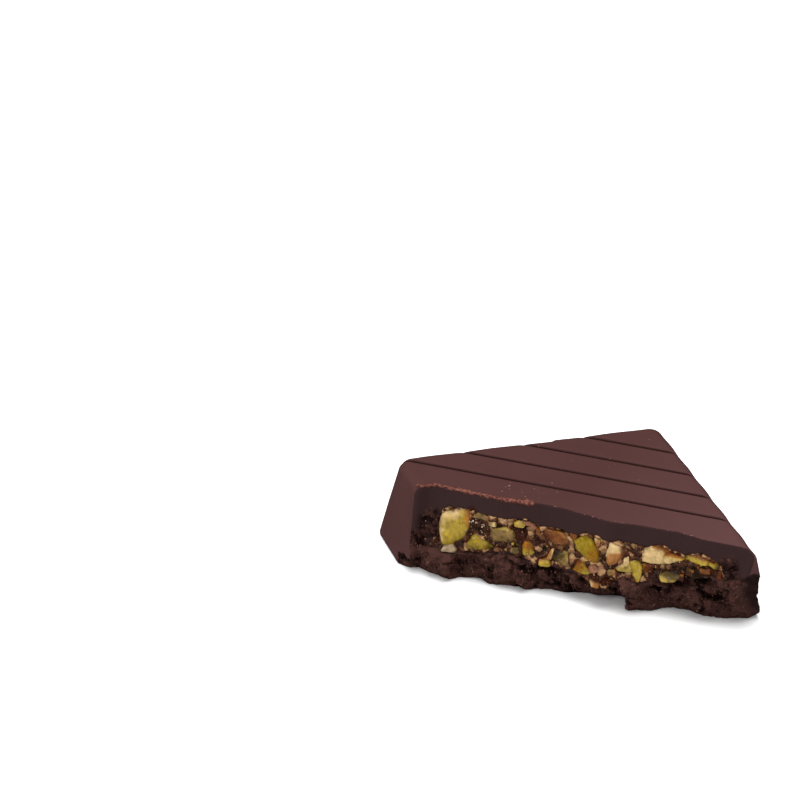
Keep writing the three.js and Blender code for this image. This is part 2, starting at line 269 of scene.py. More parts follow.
def groove_depth(x, y):
    """How deep the grooves are at a place of the mould's own plan."""
    across = y * math.cos(GROOVE_TURN) - x * math.sin(GROOVE_TURN)
    nearest = np.clip(np.round((across - GROOVE_FIRST) / GROOVE_PITCH), 0, GROOVE_COUNT - 1)
    off = np.abs(across - GROOVE_FIRST - nearest * GROOVE_PITCH)
    slot = GROOVE_DEPTH * (1 - eased((off - GROOVE_FLAT) / GROOVE_BANK))
    dip = DIP_DEPTH * (1 - eased((off - DIP_FLAT) / DIP_BANK))
    past = (x + y) / math.sqrt(2) - GROOVE_END + GROOVE_FADE / 2
    return (slot + dip) * (1 - eased(past / GROOVE_FADE))


def moulded_square(t, s, z):
    """Distance outside the whole square, as it left the mould."""
    x, y = mould_place(t, s)
    across = y * math.cos(GROOVE_TURN) - x * math.sin(GROOVE_TURN)
    wave = np.cos(2 * np.pi * (across - GROOVE_FIRST) / GROOVE_PITCH)
    rise = np.clip((z - SCALLOP_START) / (HEIGHT - SCALLOP_START), 0, 1)
    half = BASE_SIDE / 2 - DRAFT * z - SCALLOP * wave * rise
    right = eased((x - RIGHT_CORNER_START) / RIGHT_CORNER_REACH)
    radius = CORNER_RADIUS - CORNER_TIGHTENING * z / HEIGHT - RIGHT_CORNER_TIGHTENING * right
    side = rounded_square(x, y, half, radius)
    edge = (x + y) / math.sqrt(2)
    nick = NICK_DEPTH * eased((edge - NICK_START) / (NICK_END - NICK_START)) * (edge < NICK_STOP)
    side = side + nick * eased((z - HEIGHT + NICK_TALL) / NICK_FADE) * (y > x)
    solid = round_max(side, z - HEIGHT + groove_depth(x, y), TOP_EDGE_RADIUS)
    return round_max(solid, -z, BASE_EDGE_RADIUS)


def knife_face(t, z):
    """The face that the knife cut, as s at each t and z."""
    return along(KNIFE_LINE, t) - KNIFE_LEAN * (HEIGHT - z)


def plain_face(t, z):
    """The knife's face and the plain slope of the break under it, as s at each t and z."""
    top = along(BREAK_TOP, t)
    fall = np.clip(1 - z / top, 0, 1)
    slope = knife_face(t, top) + (along(BREAK_FOOT, t) - knife_face(t, top)) * fall ** BREAK_CURVE
    return np.where(z >= top, knife_face(t, z), slope)


def torn(t, z):
    """How torn the cut is, from 0 on the knife's smooth face to 1 on the break."""
    share = eased((along(BREAK_TOP, t) - z + 0.15) / 0.5)
    for at, height, width, tall in TORN_PATCHES:
        share = np.maximum(share, eased(2 * blob(t, z, at, height, width, tall)))
    for at, height, width, tall in SMOOTH_PATCHES:
        share = share * (1 - SMOOTH_SHARE * eased(2 * blob(t, z, at, height, width, tall)))
    return share


def relief(t, s, z):
    """How far the broken chocolate stands out at a place, for its lumps and grain. The large lumps
    are only under the knife's cut."""
    bent_t = t + BEND * noise(t, s, z, BEND_SIZE, 1)
    bent_z = z + BEND * noise(t, s, z, BEND_SIZE, 2) + 0.3 * s
    under = eased((along(BREAK_TOP, t) - z) / 1.2 + 0.3)
    (large, size), *smaller = LUMPS
    rough = under * (large * lumps(bent_t, 0.7 * bent_z, size, 1)[0] + LARGE_LUMP_RISE)
    for seed, (tall, size) in enumerate(smaller, 2):
        rough = rough + tall * lumps(bent_t, bent_z, size, seed)[0]
    rough = rough + GRAIN_HEIGHT * noise(t, s, z, GRAIN_SIZE, 4)
    return rough * (0.6 + 0.4 * under) - 0.1 * (1 - under)


def front(t, s, z):
    """Distance in front of the cut, whose face is smooth where the knife passed and lumpy below.
    The lumps are lower near the table."""
    face = plain_face(t, z)
    under = eased((along(BREAK_TOP, t) - z) / 0.8)
    steady = 0.3 + 0.7 * eased(z / 2)
    for at, height, width, tall, out in BREAK_LUMPS:
        face = face - out * eased(1.8 * blob(t, z, at, height, width, tall)) * under * steady
    drag = 0.025 * noise(t, 0, 0.12 * z, 0.35, 6) + 0.04 * noise(t, 0, 0.3 * z, 1.3, 7)
    share = torn(t, z)
    ahead = face - s - share * relief(t, s, z) * steady + (1 - share) * drag
    return ahead / math.hypot(1, KNIFE_LEAN)


def burr(t, s, z):
    """Distance outside the crumbly ridge along the knife's edge."""
    middle, half, tall = (along(BURR_LINE, t, column) for column in (1, 2, 3))
    ragged = 0.09 * noise(t, s, z, 0.5, 8) + 0.09 * noise(t, s, z, 0.27, 9)
    radius = np.hypot((s - middle) / half, (z - HEIGHT + 0.1) / tall)
    return np.where((t > BURR_LINE[0][0]) & (t < BURR_LINE[-1][0]), (radius - 1) * tall + ragged, 1)


def pocket(t, s, z):
    """Distance outside the space that the filling takes up. At the cut it keeps to the lines that
    show there, and further in it is plain."""
    x, y = mould_place(t, s)
    side = rounded_square(x, y, BASE_SIDE / 2 - WALL - DRAFT * z, POCKET_CORNER)
    inside = eased((s + 2) * 3 / 32)
    ceiling = along(CEILING_LINE, t) * (1 - inside) + POCKET_CEILING * inside
    ragged = 0.25 * noise(t, s, z, 0.9, 12) + 0.12 * noise(t, s, z, 0.4, 13)
    floor = along(BREAK_TOP, t) * (1 - inside) + POCKET_FLOOR * inside
    return np.maximum(np.maximum(side, z - ceiling), floor - z) + ragged * (1 - inside)


def axis(start, end, spacing):
    """Even steps from start to end of about that spacing."""
    return np.linspace(start, end, max(2, int(round((end - start) / spacing)) + 1))


def joined(*parts):
    """The steps of several axes in one, in order."""
    return np.unique(np.round(np.concatenate(parts), 5))


def chosen_places(axes, chosen):
    """Where a mask on a grid is true, as indices and as t, s and z."""
    rows = np.nonzero(chosen)
    return rows, [at[row] for at, row in zip(axes, rows)]


CORNERS = list(itertools.product((0, 1), repeat=3))
EDGES = [(a, b) for a, b in itertools.combinations(CORNERS, 2) if math.dist(a, b) == 1]
TINY = 1e-9


def surface(field, axes):
    """The surface where a field on a grid is zero, as points and quads. Inside, it is negative."""
    inside = field < 0
    shape = tuple(n - 1 for n in field.shape)
    # Each cell that the surface passes gets a point, the mean of where it crosses the cell's edges.
    filled = np.zeros(shape, np.uint8)
    for corner in CORNERS:
        filled += inside[tuple(slice(c, c + n) for c, n in zip(corner, shape))]
    mixed = (filled > 0) & (filled < len(CORNERS))
    number = np.full(shape, -1, np.int32)
    number[mixed] = np.arange(np.count_nonzero(mixed))
    cell = np.nonzero(mixed)
    values = {c: field[tuple(i + k for i, k in zip(cell, c))] for c in CORNERS}
    ends = {c: np.stack([axes[m][cell[m] + c[m]] for m in range(3)], 1) for c in CORNERS}
    total, hits = np.zeros((len(cell[0]), 3)), np.zeros(len(cell[0]))
    for a, b in EDGES:
        crossed = (values[a] < 0) != (values[b] < 0)
        share = np.where(crossed, values[a] / (values[a] - values[b] + TINY), 0)[:, None]
        total += np.where(crossed[:, None], ends[a] * (1 - share) + ends[b] * share, 0)
        hits += crossed
    # Each grid edge that the surface crosses gets a quad between the four cells around it.
    quads = []
    for m in range(3):
        n, o = (m + 1) % 3, (m + 2) % 3
        low = [slice(None)] * 3
        high = [slice(None)] * 3
        low[m], high[m] = slice(0, -1), slice(1, None)
        changed = inside[tuple(low)] != inside[tuple(high)]
        edge = np.nonzero(changed)
        clear = (edge[n] > 0) & (edge[n] < shape[n]) & (edge[o] > 0) & (edge[o] < shape[o])
        edge = tuple(i[clear] for i in edge)
        ring = []
        for back_n, back_o in ((1, 1), (0, 1), (0, 0), (1, 0)):
            at = list(edge)
            at[n], at[o] = at[n] - back_n, at[o] - back_o
            ring.append(number[tuple(at)])
        ring = np.stack(ring, 1)
        leaving = inside[edge]
        quads.append(np.where(leaving[:, None], ring, ring[:, ::-1]))
    return total / hits[:, None], np.concatenate(quads)


def part_place(points):
    """Points given as t, s and z in millimetres, in the part's frame in metres."""
    x, y = mould_place(points[:, 0], points[:, 1])
    return np.stack([x + MOULD_CENTRE[0], y + MOULD_CENTRE[1], points[:, 2]], 1) * MILLIMETRE


def piece(name, points, faces, material, slot, node, sharp=None, **colours):
    """A mesh object from points in millimetres, with its colours stored on its points. Edges that
    turn by more than the angle sharp are not smoothed."""
    made = bpy.data.meshes.new(name)
    made.vertices.add(len(points))
    made.vertices.foreach_set("co", part_place(points).astype(np.float32).ravel())
    made.loops.add(faces.size)
    made.loops.foreach_set("vertex_index", faces.astype(np.int32).ravel())
    made.polygons.add(len(faces))
    starts = np.arange(0, faces.size, faces.shape[1], dtype=np.int32)
    made.polygons.foreach_set("loop_start", starts)
    made.polygons.foreach_set("use_smooth", np.ones(len(faces), bool))
    made.update(calc_edges=True)
    for label, colour in colours.items():
        layer = made.attributes.new(label, "FLOAT_COLOR", "POINT")
        rgba = np.ones((len(points), 4), np.float32)
        rgba[:, :3] = colour
        layer.data.foreach_set("color", rgba.ravel())
    made.materials.append(material)
    if sharp:
        made.set_sharp_from_angle(angle=sharp)
    shown = bpy.data.objects.new(name, made)
    bpy.context.scene.collection.objects.link(shown)
    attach(shown, "root")
    if node:
        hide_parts(node)
    return shown


class Shader:
    """A material of the Principled shader, whose other nodes are added one by one."""

    def __init__(self, name, **sockets):
        self.material = bpy.data.materials.new(name)
        self.material.use_nodes = True
        self.tree = self.material.node_tree
        self.shader = self.tree.nodes["Principled BSDF"]
        self.place = self.add("ShaderNodeTexCoord").outputs["Object"]
        self.set(self.shader, sockets)

    def set(self, node, sockets):
        for key, value in sockets.items():
            key = key.replace("_", " ") if isinstance(key, str) else key
            if isinstance(value, bpy.types.NodeSocket):
                self.tree.links.new(value, node.inputs[key])
            else:
                node.inputs[key].default_value = value

    def add(self, kind, sockets=None, **settings):
        node = self.tree.nodes.new(kind)
        for key, value in settings.items():
            setattr(node, key, value)
        self.set(node, sockets or {})
        return node

    def noise(self, size, detail, roughness=0.5):
        """Noise that changes over about size, in metres."""
        sockets = {"Vector": self.place, "Scale": 1 / size, "Detail": detail,
                   "Roughness": roughness}
        return self.add("ShaderNodeTexNoise", sockets).outputs["Fac"]

    def ramp(self, value, low, high, first=0.0, last=1.0):
        sockets = {"Value": value, "From Min": low, "From Max": high, "To Min": first,
                   "To Max": last}
        return self.add("ShaderNodeMapRange", sockets).outputs["Result"]

    def mix(self, share, first, last, blend="MIX"):
        node = self.add("ShaderNodeMix", data_type="RGBA", blend_type=blend)
        colours = [c if isinstance(c, bpy.types.NodeSocket) else (*c, 1) for c in (first, last)]
        self.set(node, {0: share, 6: colours[0], 7: colours[1]})
        return node.outputs[2]

    def math(self, operation, *values):
        node = self.add("ShaderNodeMath", dict(enumerate(values)), operation=operation)
        return node.outputs[0]

    def colour(self, label):
        return self.add("ShaderNodeAttribute", attribute_name=label).outputs["Color"]

    def parts(self, colour):
        return self.add("ShaderNodeSeparateColor", {"Color": colour}).outputs

    def bump(self, height, distance, before=None):
        sockets = {"Height": height, "Distance": distance, "Strength": 1.0}
        if before:
            sockets["Normal"] = before
        return self.add("ShaderNodeBump", sockets).outputs["Normal"]


# Colours of the chocolate, linear: a darker and a lighter one each of the moulded faces, the sliced
# face and the ridge, a painted sheen at the right, the painted shade on the foot of the sliced
# face, the painted shade in the grooves, and for the break the painted shade of its hollows, its
# lumps, and its palest specks, which are crumbs and painted glints. The sliced face is darker than
# the moulded faces partly as its own colour and partly as painted shade. The painted sheen is at
# the part's right, on the top of its edge, over those ranges of x and z in metres.
MOULDED = ((0.0522, 0.0214, 0.0197), (0.0604, 0.0254, 0.0234))
SHADED = (0.0135, 0.0058, 0.005)
PAINTED_SHEEN = (0.0735, 0.0325, 0.0315)
PAINTED_SHEEN_ACROSS = (0, 0.022)
PAINTED_SHEEN_UP = (0.0102, 0.0114)
GROOVE_SHADE = (0.015, 0.0034, 0.003)
SLICED = ((0.0218, 0.0097, 0.0095), (0.0262, 0.0118, 0.0116))
BROKEN = ((0.0066, 0.0026, 0.002), (0.049, 0.0203, 0.0162), (0.21, 0.115, 0.095))
RIDGE = ((0.06, 0.017, 0.013), (0.19, 0.072, 0.054))
SMOOTH_ROUGHNESS = (0.46, 0.56)
BROKEN_ROUGHNESS = 0.24


def chocolate_material():
    """The shell's material. Its points say what is moulded, sliced, broken or part of the ridge,
    and where shade is painted.
    """
    made = Shader("dark_chocolate", Specular_IOR_Level=0.09)
    cut, broken, ridge = made.parts(made.colour("zone"))
    # The first part is the break's relief, which paints shade into its hollows and light onto its
    # lumps; the second and third are the painted shade of the grooves and of the sliced face's
    # foot.
    height, groove_shade, shade = made.parts(made.colour("height"))
    patches = made.noise(0.009, 3)
    grain = made.noise(0.0006, 3, 0.7)
    crumb = made.noise(0.00035, 2, 0.6)
    x, _, z = made.add("ShaderNodeSeparateXYZ", {0: made.place}).outputs
    # Painted sheen: the top of the part's right edge is lighter
    painted_sheen = made.math("MULTIPLY", made.ramp(x, *PAINTED_SHEEN_ACROSS), made.ramp(z, *PAINTED_SHEEN_UP))
    moulded = made.mix(painted_sheen, made.mix(patches, MOULDED[0], MOULDED[1]), PAINTED_SHEEN)
    # Painted shade in the grooves
    moulded = made.mix(groove_shade, moulded, GROOVE_SHADE)
    # The sliced face is darker than the moulded faces partly as its own colour and partly as
    # painted shade, and it takes more painted shade at its foot, below where the break starts.
    sliced = made.mix(shade, made.mix(patches, SLICED[0], SLICED[1]), SHADED)
    # Painted shade: the break is darker in its hollows and lighter on its lumps
    level = made.math("MULTIPLY_ADD", grain, 1.2, height)
    rough_break = made.mix(made.ramp(level, 0.8, 1.65), BROKEN[0], BROKEN[1])
    # Pale specks on the break: crumbs, and painted glints
    rough_break = made.mix(made.ramp(crumb, 0.67, 0.73), rough_break, BROKEN[2])
    crumbly = made.mix(made.ramp(crumb, 0.35, 0.65), RIDGE[0], RIDGE[1])
    colour = made.mix(cut, moulded, sliced)
    colour = made.mix(broken, colour, rough_break)
    colour = made.mix(ridge, colour, crumbly)
    smooth = made.ramp(patches, 0.3, 0.7, *SMOOTH_ROUGHNESS)
    dull = made.math("MAXIMUM", broken, ridge)
    fine = made.bump(made.noise(0.0011, 3), 0.00002)
    coarse = made.bump(made.math("MULTIPLY", grain, dull), 0.00022, fine)
    roughness = made.ramp(dull, 0, 1, smooth, BROKEN_ROUGHNESS)
    made.set(made.shader, {"Base Color": colour, "Roughness": roughness, "Normal": coarse})
    return made.material


def painted_material(name, roughness, glints, **sockets):
    """A material that takes its colour from its points, with a slight mottle and small glints."""
    made = Shader(name, **sockets)
    paint = made.colour("paint")
    mottle = made.ramp(made.noise(0.0011, 3, 0.6), 0.3, 0.7, 0.72, 1.2)
    shade = made.add("ShaderNodeCombineColor", {0: mottle, 1: mottle, 2: mottle}).outputs[0]
    colour = made.mix(1.0, paint, shade, "MULTIPLY")
    wave = made.noise(0.0005, 3, 0.6)
    gloss = made.ramp(wave, 0.35, 0.65, roughness, roughness + 0.22)
    normal = made.bump(wave, glints)
    made.set(made.shader, {"Base Color": colour, "Roughness": gloss, "Normal": normal})
    return made.material


def chocolate_zones(points):
    """How much each point of the chocolate belongs to the cut, to the break and to the ridge."""
    t, s, z = points.T
    ahead = front(t, s, z)
    cut = np.where(pocket(t, s, z) < 0.12, 1, eased((ahead + 0.18) / 0.1))
    broken = cut * torn(t, z)
    ridge = eased((0.14 - burr(t, s, z)) / 0.12) * eased((s + 5) / 0.5)
    return np.stack([cut, broken, ridge], 1)


def chocolate():
    """The shell. Its points also hold its relief, which paints shade into the break's hollows, and
    the painted shade of its grooves and under the cut.
    """
    fine, coarse = SPACING, COARSER * SPACING
    gap = GROOVE_ZONE + coarse
    grooves = [GROOVE_FIRST + k * GROOVE_PITCH for k in range(GROOVE_COUNT)]
    across = [axis(*CUT_ZONE, fine), axis(CUT_ZONE[1] + coarse, grooves[0] - gap, coarse)]
    for at in grooves:
        across.append(axis(at - GROOVE_ZONE, at + GROOVE_ZONE, fine))
        across.append(axis(at + gap, at + GROOVE_PITCH - gap, coarse))
    across.append(axis(grooves[-1] + GROOVE_PITCH - GROOVE_ZONE, GRID_BACK, coarse))
    axes = (axis(*GRID_T, 1.1 * fine), joined(*across), axis(*GRID_Z, fine))
    t, s, z = np.meshgrid(*axes, indexing="ij", sparse=True)
    solid = moulded_square(t, s, z).astype(np.float32)
    level = np.broadcast_to(z, solid.shape)
    # The detailed fields are worked out only near the surfaces that they shape.
    close = axes[1] < 3
    ahead = np.full(solid.shape, -5, np.float32)
    ahead[:, close] = plain_face(t, z) - s[:, close]
    rows, at = chosen_places(axes, np.abs(ahead) < 3)
    ahead[rows] = front(*at)
    solid = np.maximum(solid, ahead)
    rows, at = chosen_places(axes, (np.abs(ahead) < 2.5) & (level > HEIGHT - 2))
    solid[rows] = np.minimum(solid[rows], burr(*at))
    rows, at = chosen_places(axes, (solid < 0.5) & (level > 2) & (level < 11))
    solid[rows] = np.maximum(solid[rows], -pocket(*at))
    points, quads = surface(solid, axes)
    t, s, z = points.T
    # The break's relief, which paints shade into its hollows
    height = eased((relief(t, s, z) + 0.5) / 1.1)
    # Painted shade in the grooves, strongest where they are deepest
    groove_shade = eased(groove_depth(*mould_place(t, s)) / GROOVE_DEPTH * 1.6 - 0.2) * (z > HEIGHT - 1)
    # Painted shade on the sliced face, below where the break starts
    shade = 0.9 * eased((along(BREAK_TOP, t) - z) / 1.5)
    return piece("chocolate_shell", points, quads, chocolate_material(), "dark_chocolate",
                 "chocolate", zone=chocolate_zones(points),
                 height=np.stack([height, groove_shade, shade], 1))


# The chopped pieces that show on the cut: the outline as [t, z] points, how far it stands out of
# the cut, how deep it goes, its colour, and its tints. A tint is a colour, the direction, [t, z],
# in which the piece turns to it, and the shares of the way where that change starts and ends.
# Some pale tints towards a piece's top are partly painted highlights.
# Colours here and below are screen values.
GREEN, MOSS, YELLOW, OCHRE = (124, 102, 16), (70, 54, 8), (138, 115, 36), (118, 82, 14)
OLIVE, CREAM, PALE, TAN = (72, 56, 24), (176, 149, 102), (152, 127, 58), (132, 86, 42)
TOAST, RUST = (86, 42, 17), (48, 20, 9)
CRUST, BEIGE, PINK, AMBER = (96, 54, 24), (104, 82, 46), (122, 82, 60), (134, 84, 24)
DARK, SYRUP, WHITE = (30, 18, 10), (50, 18, 6), (128, 110, 86)

NUT_PIECES = [
    ([[-16.1, 8.9], [-13.1, 9.5], [-12.95, 8.4], [-13.2, 6.5], [-13.6, 5.8], [-14.4, 5.3],
      [-16, 4.75], [-16.4, 5.1], [-16.75, 7], [-16.7, 8.1]],
     0.1, 2.6, YELLOW,
     [(GREEN, (0.3, -1), 0.2, 0.9), (CREAM, (-0.5, 1), 0.2, 0.7), (CREAM, (-1, -0.1), 0.65, 0.85),
      (AMBER, (1, 0.7), 0.55, 0.95), (TOAST, (0, 1), 0.8, 0.95)]),
    ([[-16.05, 4], [-15.8, 4.65], [-14.7, 4.95], [-14.1, 4.4], [-14.2, 4.05]],
     0.3, 1.2, WHITE, [(OLIVE, (1, -0.3), 0.4, 0.9)]),
    ([[-13.05, 4.6], [-12.9, 5.3], [-12.4, 6.2], [-11.6, 6.8], [-10.9, 6.8], [-9.8, 6], [-9.1, 5.8],
      [-9.4, 5.3], [-11, 5]],
     0.05, 2.2, GREEN,
     [(MOSS, (0.4, -1), -0.2, 0.8), (PALE, (0.1, 1), 0.5, 1), (OLIVE, (1, 0), 0.5, 1)]),
    ([[-9.9, 7], [-9.6, 7.6], [-8.4, 8.1], [-7.3, 8.1], [-6.6, 7.3], [-6.9, 6.5], [-8, 6.3],
      [-9.2, 6.4]],
     0, 2.2, BEIGE, [(OLIVE, (0.6, -1), 0.2, 1), (PALE, (-0.1, 1), 0.4, 0.9)]),
    ([[-6.9, 9], [-6.3, 9.25], [-5.4, 8.9], [-5.6, 8.5], [-6.7, 8.6]],
     0.2, 1.2, PALE, [(GREEN, (-1, 0), 0, 1)]),
    ([[-6.8, 5.3], [-6.7, 5.8], [-6, 5.9], [-5.7, 5.4], [-6.1, 5.2]],
     0, 1.2, OLIVE, [(PALE, (-1, 0), 0.2, 1)]),
    ([[-5.5, 6.2], [-5.1, 6.8], [-4.1, 7], [-3.7, 6.3], [-3.9, 5.4], [-5, 5.2]],
     0.05, 1.8, AMBER, [(YELLOW, (-0.2, -1), 0, 0.6), (RUST, (1, 0.7), 0, 0.8)]),
    ([[-2.7, 8.8], [-0.3, 8.7], [0.8, 8], [0.4, 7.4], [-1.1, 7.2], [-2.9, 7.9]],
     0.05, 1.8, CRUST,
     [(TAN, (1, 0.9), 0.4, 1), (RUST, (-1, -0.2), 0.2, 0.9), (AMBER, (0, 1), 0.6, 1)]),
    ([[-2, 5.2], [-1.5, 6.5], [-1.15, 6.5], [-1.3, 5.4]],
     0.2, 1, TAN, [(CREAM, (1, 0.3), 0, 0.7)]),
    ([[-2.9, 5], [-1.6, 5.3], [-1.3, 4.5], [-2.8, 4.2]],
     0.15, 1.5, YELLOW, [(PINK, (0, -1), 0.5, 1), (TAN, (-1, 1), 0.1, 0.8)]),
    ([[-0.95, 6.7], [0.8, 6.8], [1.1, 5.1], [0, 4.85], [-0.95, 5.2]],
     0, 1.8, OLIVE,
     [(DARK, (-0.6, 0.4), 0.5, 1), (BEIGE, (0.5, -1), 0, 0.6), (PALE, (0.9, 0.7), 0.4, 1)]),
    ([[1.4, 8.15], [2.8, 9.1], [3.6, 9.1], [4.3, 8.6], [5.1, 7.6], [5.1, 6.6], [4.6, 6.3],
      [3.3, 6.5], [2, 7.3]],
     0.15, 2.6, GREEN, [(OCHRE, (1, -0.35), 0, 0.3)]),
    ([[4.1, 9.2], [5, 9.2], [5.2, 8.4], [4.8, 8.2], [4.3, 8.7]],
     0, 1.2, TAN, [(CREAM, (-1, 0.5), 0, 0.8), (RUST, (1, 0), 0.2, 1)]),
    ([[2.3, 6.1], [3.3, 5.8], [4.4, 5], [3.5, 4.6], [1.8, 4.7]],
     0.1, 1.8, OCHRE, [(YELLOW, (1, -0.5), 0, 0.6), (TOAST, (-1, 0.6), 0, 0.8)]),
    ([[3.9, 5.9], [4.9, 6.1], [5.5, 5.6], [4.8, 5], [4.1, 5.1]],
     0.05, 1.3, PINK, [(CREAM, (1, -0.4), 0.4, 1), (CRUST, (-1, 0), 0.2, 1)]),
    ([[6.4, 9.1], [7.1, 9], [8.8, 8.5], [8.2, 7.5], [7.6, 6.7], [6.4, 6.7], [6.15, 7.6]],
     0.15, 2.2, CREAM,
     [(TAN, (0.1, -1), -0.2, 0.1), (TOAST, (1, 0.1), 0.3, 0.85), (PINK, (-0.2, -1), 0.75, 0.95)]),
    ([[8.5, 7.6], [9, 7.8], [9.3, 6.9], [8.9, 6.5], [8.5, 6.8]],
     0.2, 1, CREAM, [(PALE, (0, -1), 0, 1)]),
    ([[7.5, 6.1], [8.1, 6.7], [10, 7.4], [10.8, 6.6], [10.1, 5.9], [9, 5.85]],
     0.1, 1.8, PALE, [(YELLOW, (1, 0), 0, 0.8), (CREAM, (-0.6, 0.8), 0.3, 0.8)]),
    ([[9.4, 7.2], [10.4, 7.3], [11, 6.7], [11, 5.8], [10.75, 4.9], [10.2, 5.5], [9.7, 6.1]],
     0.3, 1.3, YELLOW, [(TAN, (0, -1), 0.5, 1), (PINK, (1, 0), 0.6, 1)]),
    ([[6.6, 5.9], [7.5, 6], [7.6, 5.4], [6.8, 5.2]],
     0, 1.2, BEIGE, [(TAN, (1, 0), 0, 1)]),
    ([[4.4, 4.2], [5.2, 4.5], [5.9, 4.2], [5.7, 3.5], [4.8, 3.5]],
     0.15, 1.5, TAN, [(CREAM, (-1, -0.3), 0.1, 0.9), (RUST, (0.4, 1), 0.2, 0.8)]),
    ([[10.9, 8.9], [11.8, 9.4], [13.1, 9.6], [14, 9.2], [14.4, 7.8], [13.4, 7.5], [12, 7.45],
      [10.95, 7.6]],
     0.15, 2.4, CREAM,
     [(PALE, (1, -0.1), 0.2, 0.9), (AMBER, (0.3, 1), 0.6, 0.8), (TOAST, (0.3, 1), 0.75, 0.95)]),
    ([[13.7, 9.2], [15.2, 8.95], [16.4, 8.75], [15.8, 8.3], [14.4, 7.8], [13.7, 7.8]],
     0.15, 2, PALE,
     [(CREAM, (-0.6, -1), -0.5, 0.6), (AMBER, (0, 1), 0.1, 0.4), (TOAST, (0, 1), 0.4, 0.7)]),
    ([[11, 7.2], [12.3, 7.2], [12.3, 6.2], [11.2, 6.2]],
     0, 1.4, TOAST, [(AMBER, (-1, 0.5), 0.5, 1), (RUST, (1, -0.5), 0, 1)]),
    ([[13.3, 6], [13.9, 6.7], [15.8, 7], [16.15, 6.3], [15.3, 5.6], [13.8, 5.5]],
     0, 1.6, OLIVE, [(PALE, (-0.6, -1), 0, 0.7), (DARK, (0.2, 1), 0.3, 1)]),
    ([[16, 6.7], [16.5, 6.8], [16.6, 6.1], [16.1, 6]],
     0, 1, RUST, [(AMBER, (0, 1), 0.3, 1)]),
    ([[16.3, 9.1], [18.3, 9.7], [19.6, 9.4], [19.5, 8.8], [18.1, 8.7], [16.5, 8.65]],
     0.15, 1.8, YELLOW, [(CRUST, (0, 1), 0, 0.7), (MOSS, (0, -1), 0.3, 0.9)]),
    ([[19.2, 9.4], [19.9, 9.3], [21.1, 8.95], [20.9, 8.45], [19.4, 8.8]],
     0.15, 1.5, YELLOW, [(CRUST, (0, 1), 0, 0.7), (OLIVE, (1, 0), 0, 0.9)]),
    ([[18.6, 8.2], [19.9, 8.3], [20, 7.7], [18.9, 7.6]],
     0.05, 1.5, CRUST, [(TAN, (-1, 0), 0, 1), (RUST, (0, 1), 0.4, 1)]),
    ([[20.9, 8.3], [21.5, 8.3], [21.6, 7.4], [21, 7.4]],
     0.1, 1.2, TOAST, [(RUST, (-1, 0), 0, 1)]),
    ([[-12.6, 8.6], [-12.4, 9.1], [-11.9, 9.35], [-11.2, 9.2], [-11.5, 8.7]],
     0.15, 1, BEIGE, [(RUST, (-1, 0), 0.5, 1)]),
    ([[-11.5, 8.75], [-11.3, 9.25], [-10.4, 9.05], [-10.3, 8.5]],
     0.05, 1, BEIGE, [(PINK, (1, 0), 0, 1), (OLIVE, (-0.3, -1), 0, 1)]),
    ([[-10.3, 8.6], [-9.4, 8.7], [-9.2, 8.2], [-10.1, 8.1]],
     0.35, 1.2, BEIGE, [(CREAM, (1, 0), -0.3, 0.6)]),
    ([[-5.9, 9.3], [-4.9, 9.35], [-4.6, 8.9], [-5.2, 8.85]],
     0.3, 1, PINK, [(CRUST, (1, 0), 0.3, 1)]),
    ([[-4.9, 9.2], [-3.9, 8.8], [-4.1, 8.4], [-4.8, 8.7]],
     0.25, 1, PINK, [(CRUST, (1, 0), 0.5, 1)]),
    ([[-3.9, 8.8], [-3.3, 8.5], [-3.3, 7.9], [-3.8, 8.1]],
     0.15, 1, CRUST, [(TAN, (0, -1), 0, 1)]),
    ([[0.7, 9], [1.8, 9], [1.7, 8.5], [0.9, 8.4]],
     0, 1, CRUST, [(DARK, (1, 0), 0.3, 1)]),
]
SYRUP_PIECES = [
    ([[-7.1, 8.5], [-5.6, 8.4], [-4.6, 7.4], [-5.8, 6.6], [-6.7, 6.9]],
     -0.3, 1.6, SYRUP, [(DARK, (1, 0), 0, 1)]),
    ([[6, 4.1], [6.1, 4.7], [7.7, 4.9], [7.8, 4.2], [6.3, 3.8]],
     0, 1.6, SYRUP, [(DARK, (1, 0), 0.2, 1)]),
    ([[4.2, 4.9], [5.6, 4.9], [5.5, 4.3], [4.3, 4.3]],
     0, 1.4, RUST, [(SYRUP, (1, 0), 0, 1)]),
    ([[19.9, 8.4], [20.8, 8.5], [20.9, 7.5], [20.1, 7.5]],
     -0.1, 1.5, SYRUP, [(DARK, (1, 0), 0, 1)]),
    ([[11.2, 6.3], [12.6, 6.8], [13.1, 6.4], [13, 5.8], [12, 5.6]],
     -0.3, 1.5, RUST, [(DARK, (1, 0), -0.4, 0.6)]),
]
# The filling between them, from its darkest crumbs to its lightest
MASS = [
    DARK, (52, 27, 17), (36, 19, 12), (52, 27, 17), (42, 23, 14), (56, 30, 20), RUST,
    (62, 37, 25), (54, 30, 20), (42, 25, 16), (60, 31, 18), (74, 44, 29), (86, 54, 35),
    (104, 68, 44), (120, 86, 58), (142, 108, 74),
]
# The small bits in the filling, pale specks that paint glints, and the crumbs and dust of chocolate
BIT_COLOURS = [
    RUST, (58, 34, 24), (122, 90, 58), (84, 52, 34), (100, 62, 36), PINK, OLIVE, TAN, (108, 72, 48),
    PALE, (60, 34, 22), (70, 44, 34),
]
GLINT_COLOURS = [(172, 154, 126), (132, 106, 80), (190, 176, 150)]
CRUMB_COLOURS = [(80, 48, 40), (56, 31, 26), (44, 24, 20), (96, 60, 48), (66, 36, 30)]
DUST_COLOURS = [(150, 106, 98), (120, 80, 74), (176, 132, 122)]
